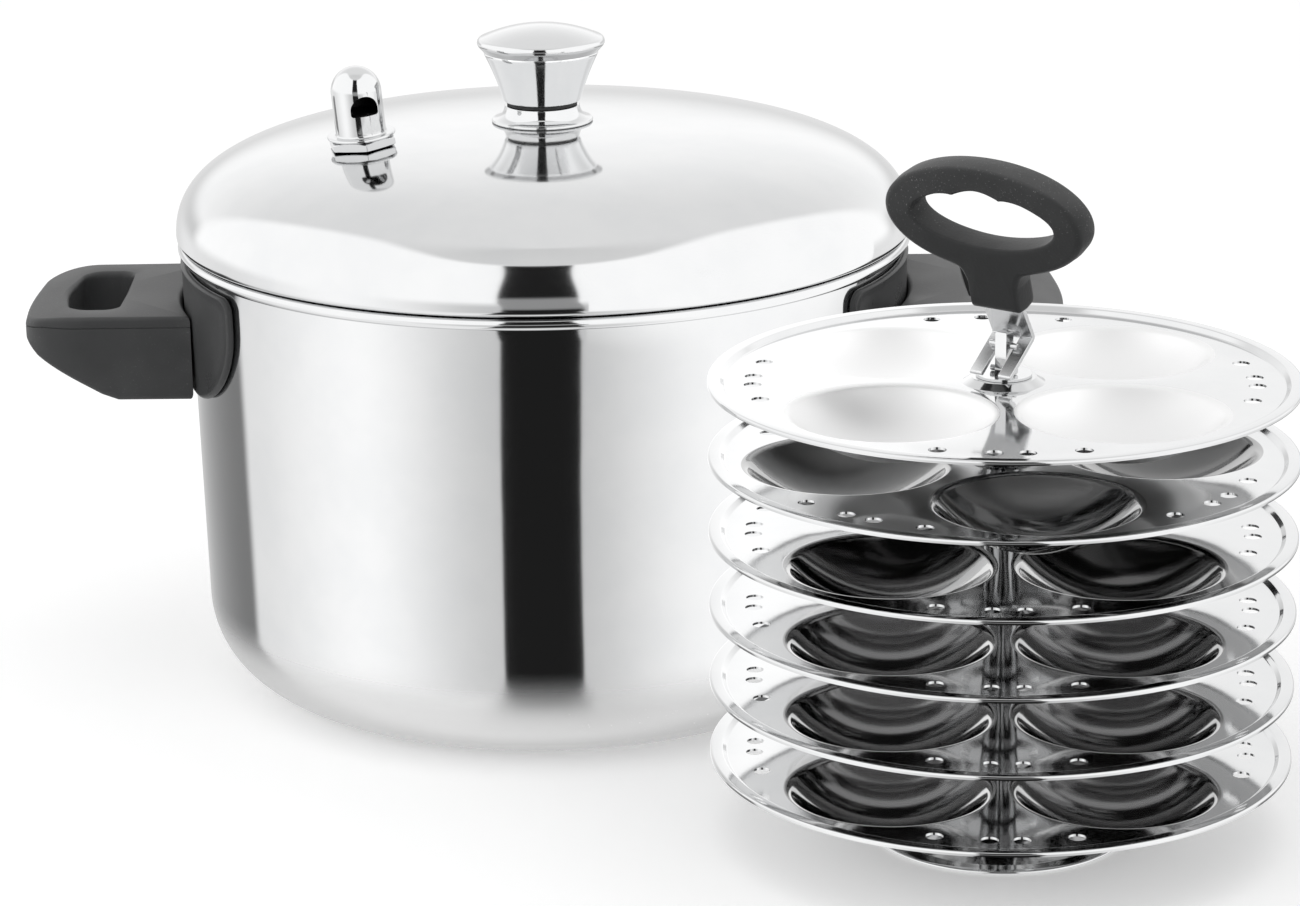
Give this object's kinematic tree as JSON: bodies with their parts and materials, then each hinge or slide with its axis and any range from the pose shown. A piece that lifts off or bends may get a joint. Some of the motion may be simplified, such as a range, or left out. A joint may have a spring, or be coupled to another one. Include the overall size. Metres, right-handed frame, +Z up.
{
  "type": "idli steamer",
  "caption": "Covered steel pot with two side handles and a vented lid, beside its lift-out stand of stacked idli plates with a lifting handle.",
  "frame": {"origin": "middle of the pot's flat base", "axes": "+Z up; +X towards the right handle; -Y towards the front, where the stand of plates stands"},
  "size_m": [0.4553, 0.4187, 0.2498],
  "materials": {
    "steel": "mirror-polished stainless steel",
    "bakelite": "moulded black bakelite, half gloss",
    "rubber": "matt black silicone rubber"
  },
  "bodies": {
    "pot": {"pot_shell": "steel", "left_handle_grip": "bakelite", "right_handle_grip": "bakelite", "left_handle_guard": "bakelite", "right_handle_guard": "bakelite", "left_handle_bracket": "steel", "right_handle_bracket": "steel", "handle_screws": "steel"},
    "lid": {"lid_shell": "steel", "knob_foot": "steel", "knob_ring": "bakelite", "knob_cup": "steel", "knob_cap": "steel", "knob_core": "steel", "knob_washer": "steel", "knob_screw": "steel", "vent_nut": "steel", "vent_whistle": "steel", "vent_stem": "steel", "vent_languid": "steel", "vent_gasket": "rubber", "vent_lock_nut": "steel"},
    "stand": {"stand_foot": "steel", "stand_foot_nut": "steel", "stand_rod": "steel", "spacer_sleeves": "steel", "top_washer": "steel", "retaining_pin": "steel", "lifting_pin": "steel"},
    "lifter": {"lifter_strap": "steel", "lifter_grip": "bakelite"},
    "plate_1_body": {"plate_1": "steel"},
    "plate_2_body": {"plate_2": "steel"},
    "plate_3_body": {"plate_3": "steel"},
    "plate_4_body": {"plate_4": "steel"},
    "plate_5_body": {"plate_5": "steel"},
    "plate_6_body": {"plate_6": "steel"}
  },
  "joints": [
    {"name": "lid_lift", "type": "slide", "parent": "pot", "child": "lid", "axis": [0, 0, 1], "range_m": [0, 0.15]},
    {"name": "stand_lift", "type": "slide", "parent": "pot", "child": "stand", "axis": [0, 0, 1], "range_m": [0, 0.2]},
    {"name": "lifter_unhook", "type": "slide", "parent": "stand", "child": "lifter", "axis": [0.4875, 0.6239, 0.6108], "range_m": [0, 0.03]},
    {"name": "plate_1_turn", "type": "hinge", "parent": "stand", "child": "plate_1_body", "pos_m": [0.158, -0.1805, 0.16175], "axis": [0, 0, 1], "continuous": true},
    {"name": "plate_2_turn", "type": "hinge", "parent": "stand", "child": "plate_2_body", "pos_m": [0.158, -0.1805, 0.1354], "axis": [0, 0, 1], "continuous": true},
    {"name": "plate_3_turn", "type": "hinge", "parent": "stand", "child": "plate_3_body", "pos_m": [0.158, -0.1805, 0.10905], "axis": [0, 0, 1], "continuous": true},
    {"name": "plate_4_turn", "type": "hinge", "parent": "stand", "child": "plate_4_body", "pos_m": [0.158, -0.1805, 0.0827], "axis": [0, 0, 1], "continuous": true},
    {"name": "plate_5_turn", "type": "hinge", "parent": "stand", "child": "plate_5_body", "pos_m": [0.158, -0.1805, 0.05635], "axis": [0, 0, 1], "continuous": true},
    {"name": "plate_6_turn", "type": "hinge", "parent": "stand", "child": "plate_6_body", "pos_m": [0.158, -0.1805, 0.03], "axis": [0, 0, 1], "continuous": true}
  ]
}
